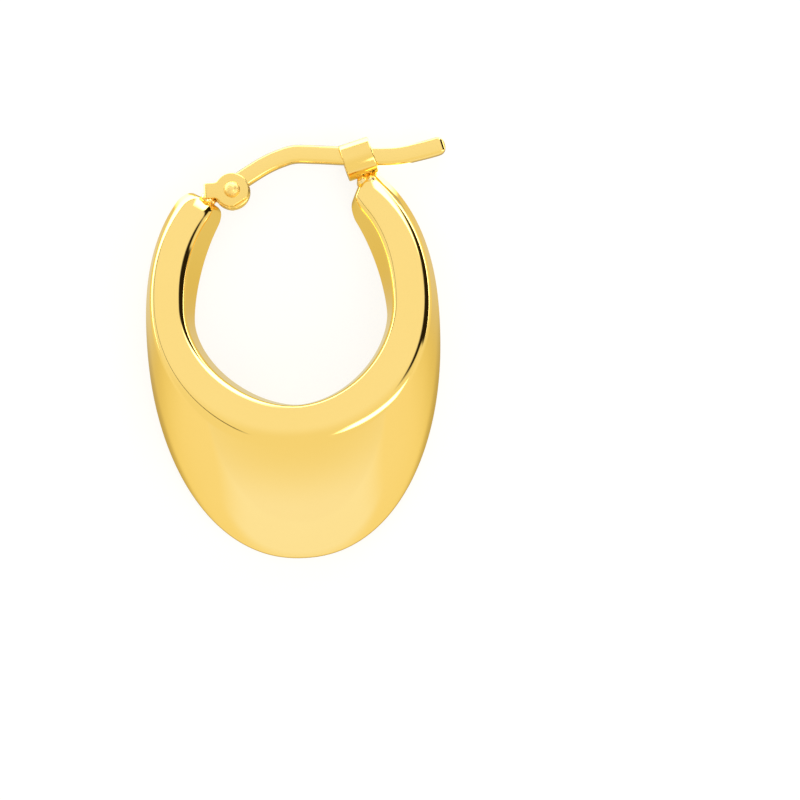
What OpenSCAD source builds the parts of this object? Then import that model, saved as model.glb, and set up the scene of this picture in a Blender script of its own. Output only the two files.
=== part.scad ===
// Creole hoop earring, lying on its back: +Y runs from the rim to the clasp, +Z is up from the surface.
// The hoop is a hollow wedge-shaped tube. Each of its sections lies in an upright plane through the
// centre of the ridge, slanted a little towards the ends, and has four corners: front inner,
// front outer (the ridge), back outer and back inner.
// All lengths are in millimetres and all angles in degrees.

/* [Hoop outlines] */
// Half of the hoop's width at the back rim
back_half_w = 8.87; // [8.4:0.01:9.2]
// Drop of the back rim below the ridge centre, at the bottom
back_drop = 15.92; // [15:0.02:16.5]
// Half of the hoop's width at the ridge
ridge_half_w = 8.4; // [8.2:0.05:8.5]
// Drop of the ridge below its centre, at the bottom
ridge_drop = 8.15; // [8:0.05:8.3]
// Half of the front opening's width
front_half_w = 6.25; // [6:0.05:6.4]
// Half of the back opening's width
throat_half_w = 5.75; // [5.5:0.05:5.9]
// Drop of the opening's lower edge below the ridge centre
opening_drop = 6.3; // [6:0.05:6.6]
// Shift of the opening across the hoop, towards the hinge where it is negative
opening_shift = -0.1; // [-0.15:0.01:0.15]
// Sway of the opening's lower edge back from that shift
opening_sway = 0.2; // [0:0.02:0.3]
// Angle of the hinge end, round from the bottom
hinge_end_angle = 142.5; // [140:0.5:144]
// Angle of the catch end, round from the bottom
catch_end_angle = 146.8; // [143:0.5:147]
// Slant of the cut at the hinge end and at the catch end, in degrees for each millimetre outwards
end_slants = [2.7, 1.25];

/* [Hoop depth] */
// Height of the ridge over the surface, at the bottom of the hoop
ridge_height = 6.84; // [6.4:0.02:7.2]
// Slope of the flat front face
front_slope = 18.2; // [17:0.1:19.5]
// Slope of the back, which the catch props up a little
back_slope = 1.7; // [1.5:0.1:1.9]
// Bulge of the outer wall at the bottom of the hoop
wall_bulge = 0.75; // [0.4:0.05:0.9]
// Thickness of the sheet that the hoop is made of
sheet = 0.25; // [0.2:0.01:0.3]

/* [Hoop edges] */
// Rounding of the front inner edge at the sides, from the corner to where it starts
front_inner_round = 0.47; // [0.4:0.01:0.54]
// What that edge's rounding loses at the bottom of the hoop
front_inner_less = 0.2; // [0:0.05:0.25]
// Rounding of the ridge at the sides
ridge_round = 0.5; // [0.3:0.05:0.5]
// Extra rounding of the ridge at the bottom and towards the ends
ridge_round_more = [0.2, 0.15];
// Rounding of the back rim
rim_round = 0.45; // [0.2:0.05:0.7]
// Extra rounding of the back rim at the bottom of the hoop
rim_round_more = 0.4; // [0:0.05:0.5]
// Rounding of the back inner edge
back_inner_round = 0.3; // [0.2:0.05:0.35]
// Length over which the two ends of the tube close
end_reach = 1; // [0.5:0.05:1]
// How far the walls close in there
end_inset = 0.44; // [0.3:0.02:0.46]

/* [Clasp] */
// Pivot of the ear wire: across, up the hoop, and height
pivot = [-3.24, 6.65, 1.4];
// Lean of the clasp's plane towards the back
clasp_lean = 10; // [8:0.5:11]
// Thickness of the ear wire, front to back
wire_t = 0.76; // [0.7:0.01:0.78]
// Width of the ear wire, as the front shows it
wire_w = 1.08; // [1:0.01:1.12]
// Rounding of the ear wire's long edges
wire_round = 0.24; // [0.15:0.01:0.3]
// Radius of the eye at the wire's hinge end
eye_r = 1.08; // [1.04:0.01:1.12]
// Radius of the two ears of the hinge
ear_r = 1.02; // [0.95:0.01:1.05]
// Thickness of each ear
ear_t = 0.34; // [0.3:0.01:0.4]
// Running gap on each side of the eye
eye_gap = 0.04; // [0.03:0.01:0.06]
// Width of the neck that joins the ears to the hoop
neck_w = 0.92; // [0.8:0.02:1]
// Reach of the neck from the pivot
neck_reach = 1.7; // [1.6:0.02:1.74]

/* [Rivet] */
// Radius of the rivet's shank
rivet_r = 0.3; // [0.25:0.01:0.34]
// Radius of the rivet's domed heads
head_r = 0.49; // [0.44:0.01:0.5]
// Running clearance between the shank and the wire's eye
shank_gap = 0.03; // [0.02:0.01:0.05]

/* [Catch] */
// Centre of the catch in the clasp's plane, from the pivot
catch_at = [7.63, 1.65];
// Turn of the catch in the clasp's plane
catch_turn = 16; // [14:0.5:18]
// Outer radius of the catch
catch_r = 1.15; // [1.12:0.01:1.18]
// Thickness of the catch's strip
strip_t = 0.31; // [0.3:0.01:0.34]
// Width of the catch's strip, along the wire
strip_w = 1.86; // [1.7:0.02:1.9]
// Shift of the catch's centre in front of the wire
catch_shift = 0.09; // [0.07:0.01:0.13]
// Angle of the front lip from the middle of the mouth
front_lip = 28; // [26:1:34]
// Angle of the back lip from the middle of the mouth
back_lip = 54; // [52:1:60]

/* [Hidden] */

// Outlines of the tube's four long edges, seen from above. Each is an ellipse with its own squareness:
// [centre_x, centre_y, half_width, reach_up, reach_down, squareness_up, squareness_down, sway]
front_inner = [opening_shift, -0.2, front_half_w, 7.45, opening_drop - 0.2, 2.3, 1.88, opening_sway];
front_outer = [0, 0, ridge_half_w, 8.65, ridge_drop, 2.15, 2.05, 0];
back_outer = [0, -1.9, back_half_w, 11.4, back_drop - 1.9, 2.27, 2.15, 0];
back_inner = [opening_shift, -1.1, throat_half_w, 9.5, opening_drop - 1.1, 1.6, 1.75, opening_sway];

// The rounded back rim touches the surface where the line of the back crosses height 0
rim_rolls_up = 0.8;
rim_touch = back_drop - rim_rolls_up;
// Sections round the hoop, and facets of its walls and edges: [ring_step, wall_parts, edge_parts]
shell_grain = [4, 5, 4];
cavity_grain = [6, 3, 2];
least_round = 0.06;
// Ends of the shell and of the cavity: [distance_from_the_end, closing_length, closing_depth]
shell_ends = [0, end_reach, end_inset];
cavity_ends = [0.55, 0.3, 0.2];
// Steps in which the rounded ends close
end_steps = 4;
// Where the sections begin to slant, over how many degrees they do, and the distance that stays in place
slant_start = 110;
slant_span = 33;
slant_middle = 7.8;
search_steps = 22;
// Size of the blocks that cut things away
wide = 40;
// Shift that sets the origin under the middle of the whole earring
centre_shift = [-0.43, 2.95, 0];

gold = [0.93, 0.74, 0.32];
pale_gold = [0.97, 0.83, 0.48];
warm_gold = [0.86, 0.66, 0.24];

// Ear wire's centre line in the clasp's plane, from the pivot: [along, up]
wire_route = [
    [0.4, 0.56], [1.3, 1.1], [2.05, 1.51], [2.85, 1.84], [3.8, 2.08], [5.1, 2.01], [7.4, 1.8],
    [9.8, 1.69], [11.4, 1.93], [12.86, 2.27]
];
// Steps between two points of the wire's route, along each rounded edge of the wire, and at its tip
route_steps = 5;
wire_edge_steps = 3;
tip_steps = 6;
// Rounding of the wire's tip, seen from the front and from the side
wire_tip_round = [0.48, 0.3];
wire_least_round = 0.04;

// The eye is a little thicker than the wire
eye_t = wire_t + 0.04;
// Ears and slot of the hinge, measured from the clasp's plane
slot_half = eye_t / 2 + eye_gap;
ears_half = slot_half + ear_t;
// The strip's bend, the web left behind the slot, and the seat of the rivet's heads
neck_bend = 0.25;
neck_web = 0.36;
head_seat = 0.01;
// Radius between each ear and the neck, and how far it cuts into both
ear_fillet = 0.35;
fillet_overlap = 0.01;
// The ears are cut straight on the side towards the opening
ear_chord = 0.9;
ear_chord_turn = -59.5;
// Lumps of solder in the clasp's plane: [along, up, height, radius]
hinge_solder = [[-1.5, -0.34, 0.02, 0.42], [-1.3, -0.5, -0.1, 0.28]];
catch_solder = [[7.9, 0.22, -0.05, 0.42], [8.35, 0.3, 0.15, 0.3]];

// Angle of a section's point at distance r. Towards the ends of the tube the sections slant
function slanted(a, r) = let (
        share = min(1, pow(max(0, abs(a) - slant_start) / slant_span, 2))
    ) a + (a < 0 ? end_slants[0] : end_slants[1]) * share * (r - slant_middle);

function inside(o, a, r) = let (
        turn = slanted(a, r),
        y = -r * cos(turn) - o[1],
        reach = y > 0 ? o[3] : o[4],
        power = y > 0 ? o[5] : o[6],
        x = r * sin(turn) - o[0] - (y > 0 ? 0 : o[7] * pow(y / reach, 2))
    ) pow(abs(x) / o[2], power) + pow(abs(y) / reach, power) < 1;

// Distance from the ridge's centre to an outline at angle a, found by halving
function reach_at(o, a, low = 3, high = 20, steps = search_steps) =
    steps == 0 ? (low + high) / 2
    : inside(o, a, (low + high) / 2) ? reach_at(o, a, (low + high) / 2, high, steps - 1)
    : reach_at(o, a, low, (low + high) / 2, steps - 1);

function front_z(a, r) = ridge_height - (ridge_drop - r * cos(slanted(a, r))) * tan(front_slope);
function back_z(a, r) = (rim_touch - r * cos(slanted(a, r))) * tan(back_slope);
function on_front(o, a) = let (r = reach_at(o, a)) [r, front_z(a, r)];
function on_back(o, a) = let (r = reach_at(o, a)) [r, back_z(a, r)];

function unit(v) = v / norm(v);
function crossed(u, v) = u[0] * v[1] - u[1] * v[0];
// A corner of a section moved inwards by d from both of its walls
function inset_corner(before, here, after, d) = let (
        u = unit(before - here),
        v = unit(after - here)
    ) here + (u + v) * d / abs(crossed(u, v));

function section_corners(a) = [
    on_front(front_inner, a), on_front(front_outer, a), on_back(back_outer, a), on_back(back_inner, a)
];
function inset_corners(c, d) = [for (i = [0 : 3]) inset_corner(c[(i + 3) % 4], c[i], c[(i + 1) % 4], d)];

function low_share(a) = pow(max(0, cos(a)), 2);
function high_share(a) = pow(max(0, -cos(a)), 2);
function section_rounds(a, d) = [
    for (r = [
        front_inner_round - front_inner_less * low_share(a),
        ridge_round + ridge_round_more[0] * low_share(a) + ridge_round_more[1] * high_share(a),
        rim_round + rim_round_more * low_share(a),
        back_inner_round
    ]) max(r - d, least_round)
];

// Wall from p to q with bulge s, at share t of its length, and its direction there
function outward(p, q) = [p[1] - q[1], q[0] - p[0]] / norm(q - p);
function wall_point(p, q, s, t) = p + (q - p) * t + outward(p, q) * 4 * s * t * (1 - t);
function wall_way(p, q, s, t) = unit(q - p + outward(p, q) * 4 * s * (1 - 2 * t));

// Cubic curve that rounds a corner from point p, heading u, to point q, heading v
function corner_curve(p, u, q, v, parts) = let (
        turn = acos(min(1, u * v)),
        arm = norm(q - p) / (2 * cos(turn / 2)) * (4 / 3) * tan(turn / 4) / tan(turn / 2),
        p1 = p + u * arm,
        q1 = q - v * arm
    ) [for (k = [1 : parts - 1]) let (t = k / parts, s = 1 - t)
        p * s * s * s + p1 * 3 * s * s * t + q1 * 3 * s * t * t + q * t * t * t];

// Closed outline of a section at angle a, moved in by d
function section(a, d, grain) = let (
        c = inset_corners(section_corners(a), d),
        rounds = section_rounds(a, d),
        bulges = [0, wall_bulge * low_share(a), 0, 0]
    ) [for (i = [0 : 3]) let (
        p = c[i], q = c[(i + 1) % 4], w = c[(i + 2) % 4],
        s = bulges[i], s2 = bulges[(i + 1) % 4],
        first = rounds[i] / norm(q - p),
        last = 1 - rounds[(i + 1) % 4] / norm(q - p),
        next = rounds[(i + 1) % 4] / norm(w - q),
        parts = i == 1 ? grain[1] : 1
    ) each concat(
        [for (k = [0 : parts]) wall_point(p, q, s, first + (last - first) * k / parts)],
        corner_curve(
            wall_point(p, q, s, last), wall_way(p, q, s, last),
            wall_point(q, w, s2, next), wall_way(q, w, s2, next), grain[2]
        )
    )];

function ring(a, d, grain) = [
    for (p = section(a, d, grain)) let (turn = slanted(a, p[0])) [p[0] * sin(turn), -p[0] * cos(turn), p[1]]
];

// Angle that a length takes up along the ridge
function turn_of(length) = length / ridge_drop * 180 / PI;

// Rings that close an end: each step turns towards the end plane and shrinks: [angle, inset]
function end_rings(end, d, ends, side) = [
    for (k = [0 : end_steps]) let (
        turn = 90 * (side < 0 ? end_steps - k : k) / end_steps,
        back = ends[0] + ends[1] * (1 - sin(turn))
    ) [side * (end - turn_of(back)), d + ends[2] * (1 - cos(turn))]
];
function middle_rings(step, d, ends) = let (
        margin = turn_of(ends[0] + ends[1]),
        from = -(hinge_end_angle - margin),
        to = catch_end_angle - margin,
        n = ceil((to - from) / step)
    ) [for (k = [1 : n - 1]) [from + (to - from) * k / n, d]];

function total(list, i = 0) = i == len(list) - 1 ? list[i] : list[i] + total(list, i + 1);
function mean(list) = total(list) / len(list);

// Solid skinned over rings of equal length, with a fan at each end
module skin(rings) {
    n = len(rings[0]);
    m = len(rings);
    points = concat([for (r = rings) each r], [mean(rings[0]), mean(rings[m - 1])]);
    sides = [
        for (i = [0 : m - 2], k = [0 : n - 1]) let (
            a = i * n + k, b = i * n + (k + 1) % n, c = a + n, e = b + n
        ) each [[a, e, b], [a, c, e]]
    ];
    first_fan = [for (k = [0 : n - 1]) [m * n, k, (k + 1) % n]];
    last_fan = [for (k = [0 : n - 1]) [m * n + 1, (m - 1) * n + (k + 1) % n, (m - 1) * n + k]];
    polyhedron(points, concat(sides, first_fan, last_fan), convexity = 6);
}

// The tube's skin, moved in by d
module tube(d, grain, ends) {
    places = concat(
        end_rings(hinge_end_angle, d, ends, -1),
        middle_rings(grain[0], d, ends),
        end_rings(catch_end_angle, d, ends, 1)
    );
    skin([for (p = places) ring(p[0], p[1], grain)]);
}

module hoop_shell() {
    difference() {
        tube(0, shell_grain, shell_ends);
        tube(sheet, cavity_grain, cavity_ends);
    }
}

module in_clasp_plane() {
    translate(pivot) rotate([-clasp_lean, 0, 0]) children();
}

module solder(lumps) {
    for (s = lumps) translate([s[0], s[1], s[2]]) sphere(r = s[3], $fn = 32);
}

// Fillets between each ear and the neck: blocks that a cylinder hollows out
module ear_fillets() {
    up = neck_w / 2 + ear_fillet - fillet_overlap;
    along = sqrt(pow(ear_r + ear_fillet - fillet_overlap, 2) - up * up);
    share = ear_r / (ear_r + ear_fillet);
    for (side = [0, 1]) mirror([0, side, 0]) difference() {
        translate([-along, 0, -ears_half]) cube([along * (1 - share), up * share, 2 * ears_half]);
        translate([-along, up, 0]) cylinder(r = ear_fillet, h = wide, center = true, $fn = 64);
    }
}

// One strip folded round the wire's eye: a neck with rounded bends, and an ear on each side
module hinge_clevis() {
    difference() {
        union() {
            cylinder(r = ear_r, h = 2 * ears_half, center = true, $fn = 64);
            ear_fillets();
            translate([neck_bend - neck_reach, -neck_w / 2, -ears_half])
                cube([neck_reach - neck_bend, neck_w, 2 * ears_half]);
            translate([-neck_reach, -neck_w / 2, neck_bend - ears_half])
                cube([neck_reach, neck_w, 2 * (ears_half - neck_bend)]);
            for (side = [-1, 1])
                translate([neck_bend - neck_reach, 0, side * (ears_half - neck_bend)])
                    rotate([90, 0, 0]) cylinder(r = neck_bend, h = neck_w, center = true, $fn = 32);
        }
        translate([neck_web - neck_reach, -wide / 2, -slot_half])
            cube([wide, wide, 2 * slot_half]);
        cylinder(r = rivet_r + head_seat, h = wide, center = true, $fn = 48);
        rotate([0, 0, ear_chord_turn]) translate([ear_chord, -wide / 2, -wide / 2]) cube(wide);
    }
}

// Strip bent into an open ring, its mouth towards the wire's path
module catch() {
    mouth = wide * [[0, 0], [cos(front_lip), sin(front_lip)], [cos(back_lip), -sin(back_lip)]];
    translate([catch_at[0], catch_at[1], catch_shift])
        rotate([0, 0, catch_turn]) rotate([90, 0, 90])
            linear_extrude(strip_w, center = true) difference() {
                circle(r = catch_r, $fn = 72);
                circle(r = catch_r - strip_t, $fn = 72);
                polygon(mouth);
            }
}

module hoop() {
    color(gold) hoop_shell();
    color(warm_gold) in_clasp_plane() {
        hinge_clevis();
        catch();
        solder(hinge_solder);
        solder(catch_solder);
    }
}

module hinge_rivet() {
    color(pale_gold) in_clasp_plane() {
        cylinder(r = rivet_r, h = 2 * (ears_half + head_seat), center = true, $fn = 48);
        for (side = [0, 1]) mirror([0, 0, side]) translate([0, 0, ears_half + head_seat])
            intersection() {
                sphere(r = head_r, $fn = 48);
                translate([-wide / 2, -wide / 2, 0]) cube(wide);
            }
    }
}

// Smooth curve through the points of the wire's route
function route_point(i) = wire_route[max(0, min(len(wire_route) - 1, i))];
function route_at(i, t) = let (
        a = route_point(i - 1), b = route_point(i), c = route_point(i + 1), e = route_point(i + 2)
    ) (2 * b + (c - a) * t + (2 * a - 5 * b + 4 * c - e) * t * t + (3 * b - a - 3 * c + e) * t * t * t) / 2;
// Section of the wire, made narrower by d on each side and thinner by e
function wire_section(d, e) = [
    for (q = [[1, 1, 0], [-1, 1, 90], [-1, -1, 180], [1, -1, 270]], k = [0 : wire_edge_steps])
        let (r = max(wire_round - d, wire_least_round), turn = q[2] + 90 * k / wire_edge_steps)
        [
            q[0] * (wire_w / 2 - d - r) + r * cos(turn),
            q[1] * (wire_t / 2 - e - r) + r * sin(turn)
        ]
];
function wire_ring(p, way, d, e) = [
    for (q = wire_section(d, e)) [p[0] - way[1] * q[0], p[1] + way[0] * q[0], q[1]]
];

module wire_bar() {
    last = len(wire_route) - 1;
    line = [
        for (i = [0 : last - 1], k = [0 : route_steps - 1]) route_at(i, k / route_steps)
    ];
    tip = wire_route[last];
    tip_way = unit(tip - line[len(line) - 1]);
    bar_rings = [
        for (k = [0 : len(line) - 2]) let (
            way = unit(line[k + 1] - line[max(0, k - 1)])
        ) wire_ring(line[k], way, 0, 0)
    ];
    // The tip closes in steps as the tube's ends do
    tip_rings = [
        for (k = [0 : tip_steps]) let (
            turn = 90 * k / tip_steps,
            here = tip + tip_way * wire_tip_round[0] * (sin(turn) - 1),
            inset = wire_tip_round * (1 - cos(turn))
        ) wire_ring(here, tip_way, inset[0], inset[1])
    ];
    skin(concat(bar_rings, tip_rings));
}

module ear_wire() {
    color(gold) in_clasp_plane() difference() {
        union() {
            wire_bar();
            cylinder(r = eye_r, h = eye_t, center = true, $fn = 64);
        }
        cylinder(r = rivet_r + shank_gap, h = wide, center = true, $fn = 48);
    }
}

module placed() {
    translate(centre_shift) children();
}

placed() hoop();
placed() hinge_rivet();
placed() ear_wire();
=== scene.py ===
import math

import bpy
import numpy as np
from mathutils import Matrix, Vector


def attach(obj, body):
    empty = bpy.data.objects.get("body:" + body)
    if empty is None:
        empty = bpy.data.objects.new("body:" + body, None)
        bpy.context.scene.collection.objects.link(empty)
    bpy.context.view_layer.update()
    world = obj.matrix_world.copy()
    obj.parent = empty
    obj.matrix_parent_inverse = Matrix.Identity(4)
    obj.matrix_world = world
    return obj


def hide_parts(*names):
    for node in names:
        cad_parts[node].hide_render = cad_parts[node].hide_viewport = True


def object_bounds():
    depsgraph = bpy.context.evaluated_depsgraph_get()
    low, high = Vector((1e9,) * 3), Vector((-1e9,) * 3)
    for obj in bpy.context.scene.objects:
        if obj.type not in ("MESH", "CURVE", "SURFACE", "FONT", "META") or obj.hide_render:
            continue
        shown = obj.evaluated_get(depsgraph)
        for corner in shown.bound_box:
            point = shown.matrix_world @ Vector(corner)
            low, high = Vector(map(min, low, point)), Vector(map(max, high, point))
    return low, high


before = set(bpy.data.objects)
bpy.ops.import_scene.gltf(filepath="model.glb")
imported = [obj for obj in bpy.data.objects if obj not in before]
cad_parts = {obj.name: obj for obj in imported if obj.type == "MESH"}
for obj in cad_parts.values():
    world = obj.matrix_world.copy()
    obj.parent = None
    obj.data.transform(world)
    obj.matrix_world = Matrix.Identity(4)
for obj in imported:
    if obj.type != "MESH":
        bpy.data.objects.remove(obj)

cadLow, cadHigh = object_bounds()   # the CAD box, before anything is added
mm = 0.001

# Shared sizes of the earring in millimetres, as in the part's source
earring = {
    "centreShift": (-0.43, 2.95, 0.0),
    "ridgeDrop": 8.15,
    "ridgeHeight": 6.84,
    "pivot": (-3.24, 6.65, 1.4),
    "claspLean": 10,            # degrees, towards the back
    "wireThick": 0.76,
    "wireWidth": 1.08,
    "eyeMore": 0.04,            # the eye is this much thicker than the wire
    "eyeGap": 0.04,
    "earThick": 0.34,
    "rivetRadius": 0.3,
}
shift = Vector(earring["centreShift"])
eyeThick = earring["wireThick"] + earring["eyeMore"]
slotHalf = eyeThick / 2 + earring["eyeGap"]
earsHalf = slotHalf + earring["earThick"]
claspFrame = Matrix.Translation(shift + Vector(earring["pivot"])) @ Matrix.Rotation(
    math.radians(-earring["claspLean"]), 4, "X"
)


# Shader helpers

def addNode(tree, kind, **settings):
    node = tree.nodes.new(kind)
    for name, value in settings.items():
        setattr(node, name, value)
    return node


def feed(tree, node, inputs):
    # an input takes another node's socket or a plain value
    for name, value in inputs.items():
        if isinstance(value, bpy.types.NodeSocket):
            tree.links.new(value, node.inputs[name])
        else:
            node.inputs[name].default_value = value


def mathNode(tree, operation, *values):
    node = addNode(tree, "ShaderNodeMath", operation=operation)
    feed(tree, node, dict(enumerate(values)))
    return node.outputs[0]


def noiseNode(tree, vector, scale, detail, roughness=0.5):
    node = addNode(tree, "ShaderNodeTexNoise")
    feed(tree, node, {"Vector": vector, "Scale": scale, "Detail": detail, "Roughness": roughness})
    return node.outputs["Fac"]


def newGroup(name, inputs, outputs):
    tree = bpy.data.node_groups.new(name, "ShaderNodeTree")
    for socketName, kind, value in inputs:
        socket = tree.interface.new_socket(socketName, in_out="INPUT", socket_type=kind)
        if value is not None:
            socket.default_value = value
    for socketName, kind in outputs:
        tree.interface.new_socket(socketName, in_out="OUTPUT", socket_type=kind)
    return tree, tree.nodes.new("NodeGroupInput").outputs, tree.nodes.new("NodeGroupOutput")


# Slow changes of colour over the gold
def makeGoldTone():
    tree, given, out = newGroup(
        "goldTone",
        [
            ("Vector", "NodeSocketVector", None),
            ("Gold", "NodeSocketColor", (1, 0.8, 0.4, 1)),
            ("Deep Gold", "NodeSocketColor", (0.9, 0.6, 0.2, 1)),
            ("Patch Scale", "NodeSocketFloat", 200.0),
            ("Patch Amount", "NodeSocketFloat", 0.2),
        ],
        [("Color", "NodeSocketColor")],
    )
    patches = noiseNode(tree, given["Vector"], given["Patch Scale"], 3.0)
    mix = addNode(tree, "ShaderNodeMix", data_type="RGBA")
    share = mathNode(tree, "MULTIPLY", patches, given["Patch Amount"])
    tree.links.new(share, mix.inputs["Factor"])
    tree.links.new(given["Gold"], mix.inputs["A"])
    tree.links.new(given["Deep Gold"], mix.inputs["B"])
    tree.links.new(mix.outputs["Result"], out.inputs["Color"])
    return tree


# Long soft waves left by the wheel, with hair-fine polishing marks and faint smudges on them
def makePolish():
    tree, given, out = newGroup(
        "polish",
        [
            ("Vector", "NodeSocketVector", None),
            ("Wave Scale", "NodeSocketFloat", 300.0),
            ("Wave Depth", "NodeSocketFloat", 1.0),
            ("Mark Scale", "NodeSocketFloat", 9000.0),
            ("Mark Stretch", "NodeSocketVector", (1.0, 0.06, 0.06)),
            ("Mark Depth", "NodeSocketFloat", 0.02),
            ("Smudge Scale", "NodeSocketFloat", 700.0),
            ("Smooth", "NodeSocketFloat", 0.05),
            ("Worn", "NodeSocketFloat", 0.1),
        ],
        [("Roughness", "NodeSocketFloat"), ("Height", "NodeSocketFloat")],
    )
    waves = noiseNode(tree, given["Vector"], given["Wave Scale"], 1.0)
    stretch = addNode(tree, "ShaderNodeVectorMath", operation="MULTIPLY")
    tree.links.new(given["Vector"], stretch.inputs[0])
    tree.links.new(given["Mark Stretch"], stretch.inputs[1])
    marks = noiseNode(tree, stretch.outputs[0], given["Mark Scale"], 2.0, 0.7)
    smudges = noiseNode(tree, given["Vector"], given["Smudge Scale"], 4.0, 0.6)
    waves = mathNode(tree, "MULTIPLY", waves, given["Wave Depth"])
    height = mathNode(tree, "MULTIPLY_ADD", marks, given["Mark Depth"], waves)
    worn = mathNode(tree, "SUBTRACT", given["Worn"], given["Smooth"])
    both = mathNode(tree, "MULTIPLY", mathNode(tree, "ADD", smudges, marks), 0.5)
    roughness = mathNode(tree, "MULTIPLY_ADD", both, worn, given["Smooth"])
    tree.links.new(roughness, out.inputs["Roughness"])
    tree.links.new(height, out.inputs["Height"])
    return tree


goldTone = makeGoldTone()
polish = makePolish()

# Values that all the gold surfaces share, then one row for each. Colours are linear
goldShared = {
    "patchScale": 260.0,
    "reliefHeight": 0.000004,                   # metres, for a height of 1 in the polish
    "edgeTint": (0.92, 0.8, 0.5, 1),            # mirrored light at a low angle stays warm
}
goldFinishes = {
    "hoopGold": {
        "gold": (1.0, 0.735, 0.25, 1), "deepGold": (0.95, 0.66, 0.19, 1), "patchAmount": 0.25,
        "waveDepth": 1.0, "markDepth": 0.012, "smooth": 0.045, "worn": 0.085,
    },
    "strapGold": {
        "gold": (0.99, 0.72, 0.235, 1), "deepGold": (0.93, 0.63, 0.17, 1), "patchAmount": 0.35,
        "waveDepth": 1.4, "markDepth": 0.03, "smooth": 0.09, "worn": 0.17,
    },
    "wireGold": {
        "gold": (1.0, 0.735, 0.25, 1), "deepGold": (0.95, 0.66, 0.19, 1), "patchAmount": 0.35,
        "waveDepth": 1.2, "markDepth": 0.03, "smooth": 0.1, "worn": 0.18,
    },
    "rivetGold": {
        "gold": (1.0, 0.75, 0.29, 1), "deepGold": (0.96, 0.68, 0.2, 1), "patchAmount": 0.25,
        "waveDepth": 0.8, "markDepth": 0.02, "smooth": 0.48, "worn": 0.6,
    },
    "solderGold": {
        "gold": (1.0, 0.8, 0.4, 1), "deepGold": (0.92, 0.64, 0.22, 1), "patchAmount": 0.6,
        "waveDepth": 3.0, "markDepth": 0.05, "smooth": 0.16, "worn": 0.35,
    },
}


def makeGold(name):
    finish = goldFinishes[name]
    material = bpy.data.materials.new(name)
    material.use_nodes = True
    tree = material.node_tree
    shader = tree.nodes["Principled BSDF"]
    place = addNode(tree, "ShaderNodeTexCoord").outputs["Object"]
    tone = addNode(tree, "ShaderNodeGroup", node_tree=goldTone)
    feed(tree, tone, {
        "Vector": place, "Gold": finish["gold"], "Deep Gold": finish["deepGold"],
        "Patch Scale": goldShared["patchScale"], "Patch Amount": finish["patchAmount"],
    })
    marks = addNode(tree, "ShaderNodeGroup", node_tree=polish)
    feed(tree, marks, {
        "Vector": place, "Wave Depth": finish["waveDepth"], "Mark Depth": finish["markDepth"],
        "Smooth": finish["smooth"], "Worn": finish["worn"],
    })
    bump = addNode(tree, "ShaderNodeBump")
    feed(tree, bump, {
        "Height": marks.outputs["Height"], "Strength": 1.0, "Distance": goldShared["reliefHeight"],
    })
    feed(tree, shader, {
        "Base Color": tone.outputs["Color"], "Metallic": 1.0, "Specular Tint": goldShared["edgeTint"],
        "Roughness": marks.outputs["Roughness"], "Normal": bump.outputs["Normal"],
    })
    return material


materials = {name: makeGold(name) for name in goldFinishes}
print("materials:", ", ".join(materials))


# Mesh helpers. All shapes are drawn in millimetres

def addPiece(name, points, faces, material, place=Matrix.Identity(4), normals=None):
    mesh = bpy.data.meshes.new(name)
    mesh.from_pydata([place @ Vector(p) * mm for p in points], [], faces)
    mesh.validate()
    mesh.polygons.foreach_set("use_smooth", [True] * len(mesh.polygons))
    if normals is not None:
        mesh.normals_split_custom_set_from_vertices([place.to_3x3() @ Vector(n) for n in normals])
    mesh.materials.append(materials[material])
    piece = bpy.data.objects.new(name, mesh)
    bpy.context.scene.collection.objects.link(piece)
    return piece


def skinFaces(ringCount, ringSize):
    # quads between rings, then a fan on each end round two added centre points
    faces = []
    for i in range(ringCount - 1):
        for k in range(ringSize):
            here, after = i * ringSize + k, i * ringSize + (k + 1) % ringSize
            faces.append((here, after, after + ringSize, here + ringSize))
    first, last = ringCount * ringSize, ringCount * ringSize + 1
    for k in range(ringSize):
        after = (k + 1) % ringSize
        faces.append((first, after, k))
        faces.append((last, (ringCount - 1) * ringSize + k, (ringCount - 1) * ringSize + after))
    return faces


def skinPiece(name, rings, material, place=Matrix.Identity(4), normals=None):
    # normals, where given, has one row for each ring and then one for each end
    points = [p for ring in rings for p in ring]
    points += [np.mean(rings[0], axis=0), np.mean(rings[-1], axis=0)]
    return addPiece(name, points, skinFaces(len(rings), len(rings[0])), material, place, normals)


def evenNormals(piece):
    even = piece.modifiers.new("evenNormals", "WEIGHTED_NORMAL")
    even.mode = "FACE_AREA"
    even.keep_sharp = True


def roundSteps(count):
    # turns through a quarter, from the flat side to the end
    return [math.radians(90 * k / count) for k in range(count + 1)]


def roundEdge(reach, depth, count):
    # steps over a rounded edge: how far each is from the end, and how deep it is cut
    return [(reach * (1 - math.sin(turn)), depth * (1 - math.cos(turn))) for turn in roundSteps(count)]


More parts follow.
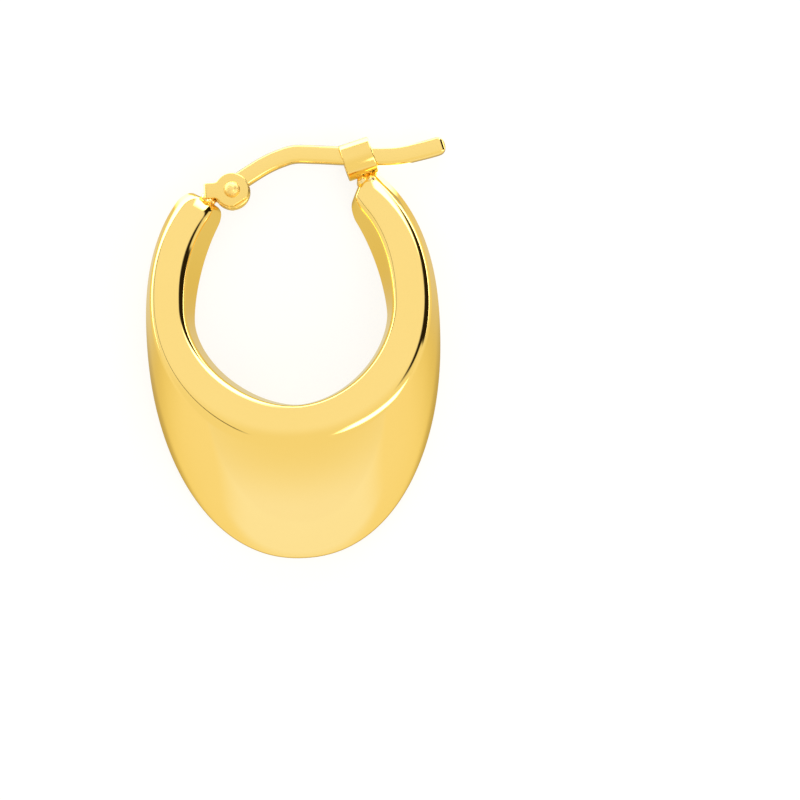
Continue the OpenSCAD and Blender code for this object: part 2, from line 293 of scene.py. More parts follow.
# The outside of the hoop, a wedge-shaped tube. Its sections stand upright round the ridge's centre, and
# slant near the tube's two ends
hoop = {
    "backHalfWidth": 8.87, "backDrop": 15.92, "ridgeHalfWidth": 8.4, "frontHalfWidth": 6.25,
    "throatHalfWidth": 5.75, "openingDrop": 6.3, "openingShift": -0.1, "openingSway": 0.2,
    # angles from the bottom of the hoop, and slants in degrees for each millimetre outwards
    "hingeEndAngle": 142.5, "catchEndAngle": 146.8, "endSlants": (2.7, 1.25),
    "slantStart": 110, "slantSpan": 33, "slantMiddle": 7.8,
    "frontSlope": 18.2, "backSlope": 1.7, "wallBulge": 0.75,
    "frontInnerRound": 0.47, "frontInnerLess": 0.2, "ridgeRound": 0.5, "ridgeRoundMore": (0.2, 0.15),
    "rimRound": 0.45, "rimRoundMore": 0.4, "backInnerRound": 0.3, "leastRound": 0.06,
    "endReach": 1.0, "endInset": 0.44, "rimRollsUp": 0.8,
    "ringStep": 0.6,            # degrees between sections
    "wallParts": (6, 26, 8, 8), "cornerParts": 12, "endParts": 12,
    "reachBetween": (3.0, 20.0), "reachHalvings": 40,
}
# Outlines of the four long edges from above: front inner, ridge, back rim and back inner.
# Each reaches up from its centre, and drops this far below the ridge's centre
outlines = [
    {
        "centre": (hoop["openingShift"], -0.2), "halfWidth": hoop["frontHalfWidth"], "reachUp": 7.45,
        "drop": hoop["openingDrop"], "squareUp": 2.3, "squareDown": 1.88, "sway": hoop["openingSway"],
    },
    {
        "centre": (0.0, 0.0), "halfWidth": hoop["ridgeHalfWidth"], "reachUp": 8.65,
        "drop": earring["ridgeDrop"], "squareUp": 2.15, "squareDown": 2.05, "sway": 0.0,
    },
    {
        "centre": (0.0, -1.9), "halfWidth": hoop["backHalfWidth"], "reachUp": 11.4,
        "drop": hoop["backDrop"], "squareUp": 2.27, "squareDown": 2.15, "sway": 0.0,
    },
    {
        "centre": (hoop["openingShift"], -1.1), "halfWidth": hoop["throatHalfWidth"], "reachUp": 9.5,
        "drop": hoop["openingDrop"], "squareUp": 1.6, "squareDown": 1.75, "sway": hoop["openingSway"],
    },
]


def slantOf(angle):
    # turn of a section's points, in radians for each millimetre outwards
    share = min(1.0, (max(0.0, abs(math.degrees(angle)) - hoop["slantStart"]) / hoop["slantSpan"]) ** 2)
    return math.radians(hoop["endSlants"][0 if angle < 0 else 1]) * share


def slanted(angle, r):
    return angle + slantOf(angle) * (r - hoop["slantMiddle"])


def reachAt(outline, angle):
    # distance from the ridge's centre to an outline, by halving the gap round it
    centreX, centreY = outline["centre"]
    low, high = hoop["reachBetween"]
    for _ in range(hoop["reachHalvings"]):
        r = (low + high) / 2
        turn = slanted(angle, r)
        x, y = r * math.sin(turn) - centreX, -r * math.cos(turn) - centreY
        if y > 0:
            reach, power = outline["reachUp"], outline["squareUp"]
        else:
            reach, power = outline["drop"] + centreY, outline["squareDown"]
            x -= outline["sway"] * (y / reach) ** 2
        if (abs(x) / outline["halfWidth"]) ** power + (abs(y) / reach) ** power < 1:
            low = r
        else:
            high = r
    return low


def sectionCorners(angle):
    # front inner, ridge, back rim, back inner, each as distance from the centre and height
    frontTan = math.tan(math.radians(hoop["frontSlope"]))
    backTan = math.tan(math.radians(hoop["backSlope"]))
    rimTouch = hoop["backDrop"] - hoop["rimRollsUp"]
    corners = []
    for i, outline in enumerate(outlines):
        r = reachAt(outline, angle)
        drop = r * math.cos(slanted(angle, r))
        front = earring["ridgeHeight"] - (earring["ridgeDrop"] - drop) * frontTan
        corners.append(np.array([r, front if i < 2 else (rimTouch - drop) * backTan]))
    return corners


def unit(v):
    return v / np.linalg.norm(v)


def insetCorners(corners, depth):
    moved = []
    for i, here in enumerate(corners):
        u, v = unit(corners[i - 1] - here), unit(corners[(i + 1) % 4] - here)
        moved.append(here + (u + v) * depth / abs(u[0] * v[1] - u[1] * v[0]))
    return moved


def wallAt(p, q, bulge, t):
    # point and direction on a wall from p to q that bulges out in a parabola
    out = np.array([p[1] - q[1], q[0] - p[0]]) / np.linalg.norm(q - p)
    return p + (q - p) * t + out * 4 * bulge * t * (1 - t), unit(q - p + out * 4 * bulge * (1 - 2 * t))


def cornerCurve(start, end, parts):
    # cubic that leaves start and meets end in their own directions
    (p, u), (q, v) = start, end
    turn = math.acos(min(1.0, float(u @ v)))
    # arms of the length that makes an even bend a round one
    arm = np.linalg.norm(q - p) / (2 * math.cos(turn / 2)) * 4 / 3 * math.tan(turn / 4) / math.tan(turn / 2)
    a, b = p + u * arm, q - v * arm
    line = []
    for k in range(1, parts):
        t, s = k / parts, 1 - k / parts
        point = p * s**3 + a * 3 * s * s * t + b * 3 * s * t * t + q * t**3
        way = (a - p) * s * s + (b - a) * 2 * s * t + (q - b) * t * t
        line.append((point, unit(way)))
    return line


def sectionLine(angle, inset):
    # points and directions round a section; the edges round more at the bottom, and the ridge also at the top
    lowShare, highShare = max(0.0, math.cos(angle)) ** 2, max(0.0, -math.cos(angle)) ** 2
    lowMore, highMore = hoop["ridgeRoundMore"]
    corners = insetCorners(sectionCorners(angle), inset)
    rounds = [
        hoop["frontInnerRound"] - hoop["frontInnerLess"] * lowShare,
        hoop["ridgeRound"] + lowMore * lowShare + highMore * highShare,
        hoop["rimRound"] + hoop["rimRoundMore"] * lowShare,
        hoop["backInnerRound"],
    ]
    rounds = [max(r - inset, hoop["leastRound"]) for r in rounds]
    bulges = [0, hoop["wallBulge"] * lowShare, 0, 0]
    line = []
    for i in range(4):
        j, after = (i + 1) % 4, (i + 2) % 4
        p, q, w = corners[i], corners[j], corners[after]
        first = rounds[i] / np.linalg.norm(q - p)
        last = 1 - rounds[j] / np.linalg.norm(q - p)
        parts = hoop["wallParts"][i]
        for k in range(parts + 1):
            line.append(wallAt(p, q, bulges[i], first + (last - first) * k / parts))
        leaving = wallAt(p, q, bulges[i], last)
        meeting = wallAt(q, w, bulges[j], rounds[j] / np.linalg.norm(w - q))
        line += cornerCurve(leaving, meeting, hoop["cornerParts"])
    return line


def endPlaces(end, side):
    # sections that close a rounded end: angle and inset
    places = []
    for left, inset in roundEdge(hoop["endReach"], hoop["endInset"], hoop["endParts"]):
        places.append((side * (end - left / earring["ridgeDrop"]), inset))
    return places if side > 0 else places[::-1]


def makeHoopShell():
    hingeEnd, catchEnd = math.radians(hoop["hingeEndAngle"]), math.radians(hoop["catchEndAngle"])
    margin = hoop["endReach"] / earring["ridgeDrop"]
    start, stop = -(hingeEnd - margin), catchEnd - margin
    count = math.ceil((stop - start) / math.radians(hoop["ringStep"]))
    middle = [(start + (stop - start) * k / count, 0.0) for k in range(1, count)]
    places = endPlaces(hingeEnd, -1) + middle + endPlaces(catchEnd, 1)
    rings, ways = [], []
    for angle, inset in places:
        slant, ring, along = slantOf(angle), [], []
        for (r, z), (out, rise) in sectionLine(angle, inset):
            turn = slanted(angle, r)
            s, c = math.sin(turn), math.cos(turn)
            ring.append((r * s, -r * c, z))
            along.append((out * (s + r * c * slant), out * (r * s * slant - c), rise))
        rings.append(ring)
        ways.append(along)
    rings, ways = np.array(rings), np.array(ways)
    normals = np.cross(ways, np.gradient(rings, axis=0))
    normals /= np.linalg.norm(normals, axis=2)[:, :, None]
    # each flat end looks straight out from its slanted cut
    ends = []
    for side, ring in ((-1, rings[0]), (1, rings[-1])):
        reach = np.linalg.norm(ring[:, :2], axis=1)
        cut = ring[reach.argmax()] - ring[reach.argmin()]
        ends.append(tuple(side * unit(np.array([-cut[1], cut[0], 0]))))
    normals[0], normals[-1] = ends
    allNormals = [n for row in normals for n in row] + ends
    return skinPiece("hoopShell", list(rings), "hoopGold", Matrix.Translation(shift), allNormals)


hoopShell = makeHoopShell()
print("hoop shell:", len(hoopShell.data.polygons), "faces")


# The hinge: a strip folded round the wire's eye, and its solder
hinge = {
    "earRadius": 1.02, "neckWidth": 0.92, "neckReach": 1.7, "neckBend": 0.25, "neckWeb": 0.36,
    "slotRound": 0.03, "filletRadius": 0.35, "chordAt": 0.9, "chordTurn": -59.5, "edgeRound": 0.07,
    # parts of the arc and of the fillet as drawn, then of the whole edge in equal steps
    "arcParts": 240, "filletParts": 40, "earParts": 150, "bendParts": 10, "edgeParts": 5,
    # along, up, height and radius of each lump of solder
    "solder": [(-1.5, -0.34, 0.02, 0.42), (-1.3, -0.5, -0.1, 0.28)],
}


def evenPoints(line, count):
    # the same line in equal steps, and the way to its left at each point
    line = np.array(line)
    lengths = np.concatenate([[0], np.cumsum(np.linalg.norm(np.diff(line, axis=0), axis=1))])
    steps = np.linspace(0, lengths[-1], count)
    points = np.stack([np.interp(steps, lengths, line[:, i]) for i in (0, 1)], axis=1)
    ways = np.gradient(points, axis=0)
    ways /= np.linalg.norm(ways, axis=1)[:, None]
    return points, np.stack([-ways[:, 1], ways[:, 0]], axis=1)


def earEdge(side):
    # one edge of an ear and its neck, from the tip to the bend; only the lower edge has the straight cut
    r, fillet, half = hinge["earRadius"], hinge["filletRadius"], hinge["neckWidth"] / 2
    middle = np.array([-math.sqrt((r + fillet) ** 2 - (half + fillet) ** 2), half + fillet])
    touch = math.atan2(middle[1], middle[0])
    cut = math.radians(hinge["chordTurn"])
    line = []
    parts = hinge["arcParts"]
    for k in range(parts + 1):
        # half a step off the tip, where the two edges meet
        turn = side * touch * (k + 0.5) / (parts + 0.5)
        point = np.array([r * math.cos(turn), r * math.sin(turn)])
        over = point @ (math.cos(cut), math.sin(cut)) - hinge["chordAt"]
        if over > 0:
            point -= over * np.array([math.cos(cut), math.sin(cut)])
        line.append(point)
    parts = hinge["filletParts"]
    for k in range(1, parts + 1):
        turn = touch - math.pi + (math.pi / 2 - touch) * k / parts
        line.append((middle + fillet * np.array([math.cos(turn), math.sin(turn)])) * (1, side))
    line.append(np.array([hinge["neckBend"] - hinge["neckReach"], side * half]))
    points, lefts = evenPoints(line, hinge["earParts"])
    return points, lefts * side


def foldLine():
    # the strip's outer and inner line from the front ear to the back ear, seen along the fold
    bend, back = hinge["neckBend"], -hinge["neckReach"]
    inside, inner = back + hinge["neckWeb"], hinge["slotRound"]
    line = []
    for side in (1, -1):
        for turn in roundSteps(hinge["bendParts"])[::side]:
            s, c = math.sin(turn), side * math.cos(turn)
            line.append((
                (back + bend - bend * s, side * (earsHalf - bend) + bend * c),
                (inside + inner - inner * s, side * (slotHalf - inner) + inner * c),
            ))
    return line


def makeHinge():
    edge, thick, half = hinge["edgeRound"], earring["earThick"], hinge["neckWidth"] / 2
    profile = roundEdge(edge, edge, hinge["edgeParts"])
    profile += [(inset, thick - depth) for inset, depth in profile[::-1]]
    ears, fold = {side: earEdge(side) for side in (1, -1)}, foldLine()
    # closed loops round the whole strip, from its outer face through its edge to its inner face
    loops = []
    for inset, depth in profile:
        z, share = earsHalf - depth, depth / thick
        sides = []
        for side in (1, -1):
            points, lefts = ears[side]
            flat = [p + left * inset for p, left in zip(points, lefts)]
            line = [(x, y, z) for x, y in flat]
            for outer, inner in fold:
                x, height = (a + (b - a) * share for a, b in zip(outer, inner))
                line.append((x, side * (half - inset), height))
            line += [(x, y, -z) for x, y in flat[::-1]]
            sides.append(line)
        loops.append(sides[0] + sides[1][::-1])
    size, faces = len(loops[0]), []
    for i in range(len(loops) - 1):
        for k in range(size):
            n = (k + 1) % size
            faces.append((i * size + k, (i + 1) * size + k, (i + 1) * size + n, i * size + n))
    # quads across the strip close its outer and its inner face
    last = (len(loops) - 1) * size
    for k in range(size // 2 - 1):
        across, after = size - 1 - k, size - 2 - k
        faces.append((k, k + 1, after, across))
        faces.append((last + k, last + across, last + after, last + k + 1))
    made = addPiece("hingeEars", [p for loop in loops for p in loop], faces, "strapGold", claspFrame)
    evenNormals(made)
    return made


# Solder: small balls with low bumps, sunk into the pieces that they join
solder = {"rows": 20, "sides": 36, "unevenness": 0.06, "seedStep": 1.3}


def lumpRings(radius, seed):
    # from the lower pole to the upper pole
    rows, sides = solder["rows"], solder["sides"]
    rings = []
    for i in range(1, rows):
        tilt = math.pi * i / rows
        ring = []
        for k in range(sides):
            turn = 2 * math.pi * k / sides
            wave = math.sin(3 * turn + seed) * math.sin(2 * tilt + 1.7 * seed)
            wave += math.sin(5 * turn - seed) * math.sin(3 * tilt)
            r = radius * (1 + solder["unevenness"] * wave * math.sin(tilt))
            level = r * math.sin(tilt)
            ring.append((level * math.cos(turn), level * math.sin(turn), -r * math.cos(tilt)))
        rings.append(ring)
    return rings


def makeSolder(name, lumps):
    made = []
    for number, (along, up, height, radius) in enumerate(lumps, 1):
        place = claspFrame @ Matrix.Translation((along, up, height))
        rings = lumpRings(radius, number * solder["seedStep"])
        made.append(skinPiece(f"{name}_{number}", rings, "solderGold", place))
    return made


hingeEars = makeHinge()
hingeSolder = makeSolder("hingeSolder", hinge["solder"])
print("hinge:", len(hingeEars.data.polygons), "faces")


# The catch: a strip bent into an open ring across the wire
catchValues = {
    "at": (7.63, 1.65), "turn": 16, "radius": 1.15, "stripThick": 0.31, "stripWidth": 1.86,
    "shift": 0.09, "frontLip": 28, "backLip": 54, "edgeRound": 0.09, "leastRound": 0.01,
    "arcParts": 90, "edgeParts": 5,
    "solder": [(7.9, 0.22, -0.05, 0.42), (8.35, 0.3, 0.15, 0.3)],
}


def roundedOblong(width, height, radius, parts):
    # corners of a rounded oblong, counter-clockwise from the right
    line = []
    for sx, sy, start in ((1, 1, 0), (-1, 1, 90), (-1, -1, 180), (1, -1, 270)):
        x, y = sx * (width / 2 - radius), sy * (height / 2 - radius)
        for k in range(parts + 1):
            turn = math.radians(start + 90 * k / parts)
            line.append((x + radius * math.cos(turn), y + radius * math.sin(turn)))
    return line


def makeCatch():
    v = catchValues
    middle = v["radius"] - v["stripThick"] / 2
    # the strip's own round edge closes each lip
    lipTurn = v["edgeRound"] / middle
    lip = roundEdge(lipTurn, v["edgeRound"], v["edgeParts"])
    first, last = math.radians(v["frontLip"]), math.radians(360 - v["backLip"])
    count = v["arcParts"]
    stations = [(first + left, inset) for left, inset in lip[::-1]]
    stations += [(first + lipTurn + (last - first - 2 * lipTurn) * k / count, 0) for k in range(1, count)]
    stations += [(last - left, inset) for left, inset in lip]
    rings = []
    for turn, inset in stations:
        radius = max(v["edgeRound"] - inset, v["leastRound"])
        width, thick = v["stripWidth"] - 2 * inset, v["stripThick"] - 2 * inset
        oblong = roundedOblong(width, thick, radius, v["edgeParts"])
        rings.append([(a, (middle + b) * math.cos(turn), (middle + b) * math.sin(turn)) for a, b in oblong])
    place = claspFrame @ Matrix.Translation((*v["at"], v["shift"]))
    place = place @ Matrix.Rotation(math.radians(v["turn"]), 4, "Z")
    made = skinPiece("catch", rings, "strapGold", place)
    evenNormals(made)
    return made


catch = makeCatch()
catchSolder = makeSolder("catchSolder", catchValues["solder"])
print("catch:", len(catch.data.polygons), "faces")


# The ear wire: a bar with soft edges along a smooth line, and an eye for the rivet
wire = {
    # along and up from the pivot, in the clasp's plane
    "route": [
        (0.4, 0.56), (1.3, 1.1), (2.05, 1.51), (2.85, 1.84), (3.8, 2.08), (5.1, 2.01), (7.4, 1.8),
        (9.8, 1.69), (11.4, 1.93), (12.86, 2.27),
    ],
    "edgeRound": 0.24, "leastRound": 0.03,
    "tipRound": (0.48, 0.3),    # across the wire and in its thickness
    "eyeRadius": 1.08, "shankGap": 0.03, "eyeEdge": 0.1,
    "routeParts": 14, "edgeParts": 6, "tipParts": 16, "eyeSides": 96,
}


def routeAt(route, i, t):
    # share t of the way from point i to the next, on a smooth line through all the points
    a, b, c, e = (np.array(route[max(0, min(len(route) - 1, j))]) for j in (i - 1, i, i + 1, i + 2))
    return (2 * b + (c - a) * t + (2 * a - 5 * b + 4 * c - e) * t**2 + (3 * b - a - 3 * c + e) * t**3) / 2


def makeWireBar():
    route, parts = wire["route"], wire["routeParts"]
    line = [routeAt(route, i, k / parts) for i in range(len(route) - 1) for k in range(parts)]
    tip, tipReach = np.array(route[-1]), wire["tipRound"][0]
    tipWay = unit(tip - line[-1])
    stations = []
    for k, here in enumerate(line):
        if np.linalg.norm(tip - here) > tipReach:
            way = unit(line[min(k + 1, len(line) - 1)] - line[max(0, k - 1)])
            stations.append((here, way, tipReach))
    for turn in roundSteps(wire["tipParts"]):
        left = tipReach * (1 - math.sin(turn))
        stations.append((tip - tipWay * left, tipWay, left))
    rings = []
    for here, way, left in stations:
        # what each rounding takes off at this distance from the tip
        inset, flat = (r - math.sqrt(r * r - max(0.0, r - left) ** 2) for r in wire["tipRound"])
        radius = max(wire["edgeRound"] - inset, wire["leastRound"])
        width, thick = earring["wireWidth"] - 2 * inset, earring["wireThick"] - 2 * flat
        oblong = roundedOblong(width, thick, radius, wire["edgeParts"])
        rings.append([(here[0] - way[1] * a, here[1] + way[0] * a, b) for a, b in oblong])
    made = skinPiece("wireBar", rings, "wireGold", claspFrame)
    evenNormals(made)
    return made


def turnedPiece(name, profile, sides, material, place):
    # a closed profile of radius and height turned once round the z axis
    points, faces, size = [], [], len(profile)
    for i in range(sides):
        turn = 2 * math.pi * i / sides
        points += [(r * math.cos(turn), r * math.sin(turn), h) for r, h in profile]
        after = (i + 1) % sides
        for k in range(size):
            n = (k + 1) % size
            faces.append((i * size + k, after * size + k, after * size + n, i * size + n))
    return addPiece(name, points, faces, material, place)


def makeWireEye():
    low, high = earring["rivetRadius"] + wire["shankGap"], wire["eyeRadius"]
    oblong = roundedOblong(high - low, eyeThick, wire["eyeEdge"], wire["edgeParts"])
    profile = [((low + high) / 2 + a, b) for a, b in oblong]
    made = turnedPiece("wireEye", profile, wire["eyeSides"], "wireGold", claspFrame)
    evenNormals(made)
    return made


wireBar = makeWireBar()
wireEye = makeWireEye()
print("ear wire:", len(wireBar.data.polygons) + len(wireEye.data.polygons), "faces")


# The rivet: a shank with a low dome on each end
rivet = {
    "headRadius": 0.49, "headSeat": 0.01, "headEdge": 0.03, "neckStart": 0.2, "neckBelow": 0.02,
    "domeParts": 14, "sides": 64,
}


def makeRivet():
    shank, head, seat = earring["rivetRadius"], rivet["headRadius"], earsHalf + rivet["headSeat"]
    dome = [(head * math.cos(t), seat + head * math.sin(t)) for t in roundSteps(rivet["domeParts"])[:-1]]
    half = [(shank, rivet["neckStart"]), (shank, seat - rivet["neckBelow"])]
    half += [(head - rivet["headEdge"], seat - rivet["headSeat"])] + dome
    profile = [(r, -h) for r, h in half[::-1]] + half
    turns = [2 * math.pi * k / rivet["sides"] for k in range(rivet["sides"])]
    rings = [[(r * math.cos(turn), r * math.sin(turn), h) for turn in turns] for r, h in profile]
    made = skinPiece("rivet", rings, "rivetGold", claspFrame)
    evenNormals(made)
    return made


rivetPiece = makeRivet()
print("rivet:", len(rivetPiece.data.polygons), "faces")


# Each piece rides on its body and stands for its CAD node
hoopPieces = [hoopShell, hingeEars, catch, *hingeSolder, *catchSolder]
for piece in hoopPieces:
    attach(piece, "hoop")
    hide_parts("hoop")
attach(rivetPiece, "hoop")
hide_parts("hinge_rivet")
for piece in (wireBar, wireEye):
    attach(piece, "ear_wire")
    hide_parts("ear_wire")


# Studio
studio = {
    "floorSize": 6.0,                       # metres
    "floorTone": (0.25, 0.25, 0.25, 1),
    "floorGlow": (0.8, 0.8, 0.8, 1),        # light that passes through the paper
    "backgroundTone": (1.0, 1.0, 1.0, 1),
    "grainScale": 900.0, "grainStrength": 0.1, "grainHeight": 0.00002,
}
# The paper as polished metal mirrors it, with painted shade and painted light that only reflections show.
# Each layer covers the ones before it, and each of its ramps goes from none to full over one measure. away is
# 1 at the hoop's outline. across and up are in millimetres. wedge is the slope of the line from the wedge's
# top.
# lifted is up, and more next to the hoop's two ends
paintedPaperLight = {
    "hoopMiddle": (-0.43, -1.5), "hoopHalf": (8.81, 11.07), "wedgeTop": -6.0,
    "ends": [
        {"lift": 4.6, "ramps": [("across", -5.8, -6.8)]},
        {"lift": 4.4, "ramps": [("across", 4.6, 5.2), ("across", 7.6, 7.0)]},
    ],
    # painted shade on the paper inside the hoop's outline, where no layer covers it
    "paintedShadeTone": (0.8, 0.74, 0.5, 1),
    "layers": [
        # painted shade round the hoop that lightens away from it, and then painted light beside its lower
        # half
        {"tone": (0.91, 0.86, 0.65, 1), "ramps": [("away", 0.99, 1.34)]},
        {"tone": (0.97, 0.925, 0.74, 1), "ramps": [("up", -1.0, -8.0), ("away", 1.04, 1.12)]},
        # painted light at the lower end
        {"tone": (1.0, 1.04, 1.2, 1), "ramps": [("up", -12.5, -15.8), ("wedge", 1.4, 0.6)]},
        # next to the rim the earring shades the paper, and so does the clasp
        {"tone": (0.6, 0.55, 0.4, 1), "ramps": [("away", 0.94, 0.99), ("away", 1.09, 1.02)]},
        {
            "tone": (0.55, 0.55, 0.62, 1),
            "ramps": [("up", 9.2, 10.0), ("across", -5.8, -5.2), ("across", 9.8, 9.2)],
        },
        # painted bright light at the upper end, mirrored as white highlights
        {"tone": (4.0, 4.0, 4.0, 1), "ramps": [("lifted", 13.7, 14.7)]},
    ],
}


def rampNode(tree, value, low, high):
    node = addNode(tree, "ShaderNodeMapRange", interpolation_type="SMOOTHSTEP")
    feed(tree, node, {"Value": value, "From Min": low, "From Max": high})
    return node.outputs["Result"]


def mixTones(tree, share, under, over):
    node = addNode(tree, "ShaderNodeMix", data_type="RGBA")
    feed(tree, node, {"Factor": share, "A": under, "B": over})
    return node.outputs["Result"]


def shareOf(tree, measures, ramps):
    # the product of some ramps, each over one measure
    share = 1.0
    for name, low, high in ramps:
        share = mathNode(tree, "MULTIPLY", share, rampNode(tree, measures[name], low, high))
    return share


def measurePaper(tree, place):
    inMillimetres = addNode(tree, "ShaderNodeVectorMath", operation="SCALE")
    feed(tree, inMillimetres, {"Vector": place, "Scale": 1 / mm})
    place = inMillimetres.outputs["Vector"]
    (x, y), (halfX, halfY) = paintedPaperLight["hoopMiddle"], paintedPaperLight["hoopHalf"]
    squash = addNode(tree, "ShaderNodeMapping", vector_type="TEXTURE")
    feed(tree, squash, {"Vector": place, "Location": (x, y, cadLow.z / mm), "Scale": (halfX, halfY, 1)})
    away = addNode(tree, "ShaderNodeVectorMath", operation="LENGTH")
    tree.links.new(squash.outputs["Vector"], away.inputs[0])
    split = addNode(tree, "ShaderNodeSeparateXYZ")
    tree.links.new(place, split.inputs["Vector"])
    across, up, _ = split.outputs
    fromTop = mathNode(tree, "SUBTRACT", up, paintedPaperLight["wedgeTop"])
    wedge = mathNode(tree, "ABSOLUTE", mathNode(tree, "DIVIDE", across, fromTop))
    measures = {"away": away.outputs["Value"], "across": across, "up": up, "wedge": wedge, "lifted": up}
    for end in paintedPaperLight["ends"]:
        near = shareOf(tree, measures, end["ramps"])
        measures["lifted"] = mathNode(tree, "MULTIPLY_ADD", near, end["lift"], measures["lifted"])
    return measures


def makeFloor():
    half = studio["floorSize"] / 2
    corners = [(x * half, y * half, cadLow.z) for x, y in ((-1, -1), (1, -1), (1, 1), (-1, 1))]
    mesh = bpy.data.meshes.new("floor")
    mesh.from_pydata(corners, [], [(0, 1, 2, 3)])
    floor = bpy.data.objects.new("floor", mesh)
    bpy.context.scene.collection.objects.link(floor)
    material = bpy.data.materials.new("floorPaper")
    material.use_nodes = True
    tree = material.node_tree
    place = addNode(tree, "ShaderNodeTexCoord").outputs["Object"]
    grain = noiseNode(tree, place, studio["grainScale"], 5.0, 0.6)
    bump = addNode(tree, "ShaderNodeBump")
    feed(tree, bump, {
        "Height": grain, "Strength": studio["grainStrength"], "Distance": studio["grainHeight"],
    })
    measures = measurePaper(tree, place)
    # the paper's painted shade and painted light, which only glossy rays see
    mirrored = paintedPaperLight["paintedShadeTone"]
    for layer in paintedPaperLight["layers"]:
        mirrored = mixTones(tree, shareOf(tree, measures, layer["ramps"]), mirrored, layer["tone"])
    glossy = addNode(tree, "ShaderNodeLightPath").outputs["Is Glossy Ray"]
    feed(tree, tree.nodes["Principled BSDF"], {
        "Base Color": mixTones(tree, glossy, studio["floorTone"], (0, 0, 0, 1)),
        "Roughness": 1.0, "Specular IOR Level": 0.0, "Normal": bump.outputs["Normal"],
        "Emission Color": mixTones(tree, glossy, studio["floorGlow"], mirrored), "Emission Strength": 1.0,
    })
    floor.data.materials.append(material)


# Soft light from all round, as azimuth and elevation in degrees: azimuth 0 is along +X and 90 along +Y.
# Later cards and strips cover the ones before them
skyValues = {
    # the mid tone lies towards the rim, the light one towards the clasp, and the pale one low beyond the rim
    "midTone": (0.93, 0.885, 0.68, 1), "lightTone": (0.985, 0.985, 0.95, 1), "turnsLight": (-0.25, 0.5),
    "paleTone": (0.99, 1.02, 1.17, 1), "turnsPale": (-0.5, -0.9), "strength": 1.0,
    "cards": [
        # dark, mirrored as narrow lines along the hoop's edges
        {"azimuth": (-2, 56), "elevation": (2, 50), "soft": 4, "tone": (0.02, 0.014, 0.006, 1)},
        # dull, low behind the clasp
        {"azimuth": (75, 150), "elevation": (-10, 5), "soft": 3, "tone": (0.62, 0.56, 0.4, 1)},
        # bright, next to the dark one
        {"azimuth": (58, 82), "elevation": (-10, 41), "soft": 3, "tone": (4.0, 4.0, 4.0, 1)},
    ],
    "strips": [
        # a thin dark one on the hinge's side
        {"from": (136, 0), "to": (219, 60), "halfWidth": 1.8, "soft": 1.2, "tone": (0.07, 0.055, 0.03, 1)},
        # the mid tone again, over the lower corner of the dark card
        {"from": (-12, 0), "to": (3, 32), "halfWidth": 7.0, "soft": 1.5, "tone": (0.93, 0.885, 0.68, 1)},
        # a bright one on the catch's side
        {"from": (-48, 61), "to": (-24, 8), "halfWidth": 6.0, "soft": 1.5, "tone": (4.0, 4.0, 4.0, 1)},
    ],
    "stripEndSoft": 5,
}


def skyWay(azimuth, elevation):
    a, e = math.radians(azimuth), math.radians(elevation)
    return Vector((math.cos(e) * math.cos(a), math.cos(e) * math.sin(a), math.sin(e)))


def degreesOf(tree, operation, *values):
    return mathNode(tree, "MULTIPLY", mathNode(tree, operation, *values), math.degrees(1))


def turnFrom(tree, way, axis):
    # degrees between the direction and an axis
    dot = addNode(tree, "ShaderNodeVectorMath", operation="DOT_PRODUCT")
    tree.links.new(way, dot.inputs[0])
    dot.inputs[1].default_value = axis
    return degreesOf(tree, "ARCCOSINE", dot.outputs["Value"])


def cardShare(tree, way, card):
    split = addNode(tree, "ShaderNodeSeparateXYZ")
    tree.links.new(way, split.inputs["Vector"])
    x, y, z = split.outputs
    low, high = card["azimuth"]
    middle, half = math.radians((low + high) / 2), (high - low) / 2
    # turn the direction so that the card's middle lies at azimuth 0
    c, s = math.cos(middle), math.sin(middle)
    ahead = mathNode(tree, "ADD", mathNode(tree, "MULTIPLY", x, c), mathNode(tree, "MULTIPLY", y, s))
    aside = mathNode(tree, "SUBTRACT", mathNode(tree, "MULTIPLY", y, c), mathNode(tree, "MULTIPLY", x, s))
    off = mathNode(tree, "ABSOLUTE", degreesOf(tree, "ARCTAN2", aside, ahead))
    measures = {"elevation": degreesOf(tree, "ARCSINE", z), "off": off}
    below, above = card["elevation"]
    soft = card["soft"]
    return shareOf(tree, measures, [
        ("elevation", below - soft, below + soft), ("elevation", above + soft, above - soft),
        ("off", half + 2 * soft, half - 2 * soft),
    ])


def stripShare(tree, way, strip):
    start, stop = skyWay(*strip["from"]), skyWay(*strip["to"])
    half, soft = math.degrees(start.angle(stop)) / 2, skyValues["stripEndSoft"]
    off = mathNode(tree, "SUBTRACT", turnFrom(tree, way, start.cross(stop).normalized()), 90)
    measures = {
        "off": mathNode(tree, "ABSOLUTE", off),
        "along": turnFrom(tree, way, (start + stop).normalized()),
    }
    return shareOf(tree, measures, [
        ("off", strip["halfWidth"] + strip["soft"], strip["halfWidth"] - strip["soft"]),
        ("along", half + soft, half - soft),
    ])


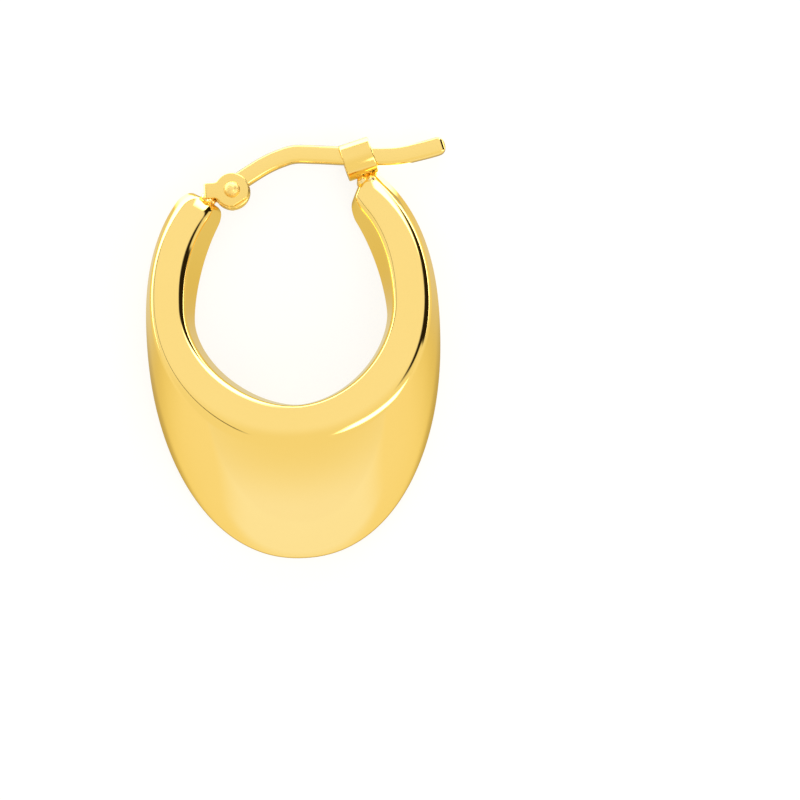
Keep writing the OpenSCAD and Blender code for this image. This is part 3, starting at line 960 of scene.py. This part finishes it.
def makeSky():
    world = bpy.data.worlds.new("studio")
    bpy.context.scene.world = world
    world.use_nodes = True
    tree = world.node_tree
    tree.nodes.clear()
    way = addNode(tree, "ShaderNodeTexCoord").outputs["Generated"]
    split = addNode(tree, "ShaderNodeSeparateXYZ")
    tree.links.new(way, split.inputs["Vector"])
    _, y, z = split.outputs
    light = rampNode(tree, y, *skyValues["turnsLight"])
    tone = mixTones(tree, light, skyValues["midTone"], skyValues["lightTone"])
    # y as the slope of the surface that mirrors it straight up
    slope = mathNode(tree, "DIVIDE", y, mathNode(tree, "ADD", z, 1.0))
    tone = mixTones(tree, rampNode(tree, slope, *skyValues["turnsPale"]), tone, skyValues["paleTone"])
    for card in skyValues["cards"]:
        tone = mixTones(tree, cardShare(tree, way, card), tone, card["tone"])
    for strip in skyValues["strips"]:
        tone = mixTones(tree, stripShare(tree, way, strip), tone, strip["tone"])
    seen = addNode(tree, "ShaderNodeLightPath").outputs["Is Camera Ray"]
    tone = mixTones(tree, seen, tone, studio["backgroundTone"])
    shine = addNode(tree, "ShaderNodeBackground")
    feed(tree, shine, {"Color": tone, "Strength": skyValues["strength"]})
    out = addNode(tree, "ShaderNodeOutputWorld")
    tree.links.new(shine.outputs["Background"], out.inputs["Surface"])


# Straight down on the earring as the photo shows its front, from far away with a long lens
camera = {
    # millimetres
    "frameWidth": 48.0, "distance": 1000.0, "target": (5.78, -3.35, 1.0), "sensorWidth": 36.0,
    # degrees
    "turn": 2.7, "towardsCatch": 1.1, "towardsClasp": 0.5,
    "clipEnd": 10.0,            # metres
}


def makeCamera():
    data = bpy.data.cameras.new("camera")
    data.sensor_width = camera["sensorWidth"]
    data.lens = camera["sensorWidth"] * camera["distance"] / camera["frameWidth"]
    data.clip_end = camera["clipEnd"]
    eye = bpy.data.objects.new("camera", data)
    bpy.context.scene.collection.objects.link(eye)
    leans = [math.tan(math.radians(camera[name])) for name in ("towardsCatch", "towardsClasp")]
    back = Vector((*leans, 1)).normalized()
    turn = math.radians(camera["turn"])
    up = Vector((math.sin(turn), math.cos(turn), 0))
    right = up.cross(back).normalized()
    up = back.cross(right)
    pose = Matrix((right, up, back)).transposed().to_4x4()
    pose.translation = (Vector(camera["target"]) + back * camera["distance"]) * mm
    eye.matrix_world = pose
    bpy.context.scene.camera = eye


makeFloor()
makeSky()
makeCamera()
bpy.context.scene.view_settings.view_transform = "Standard"
print("studio: floor, sky and camera")
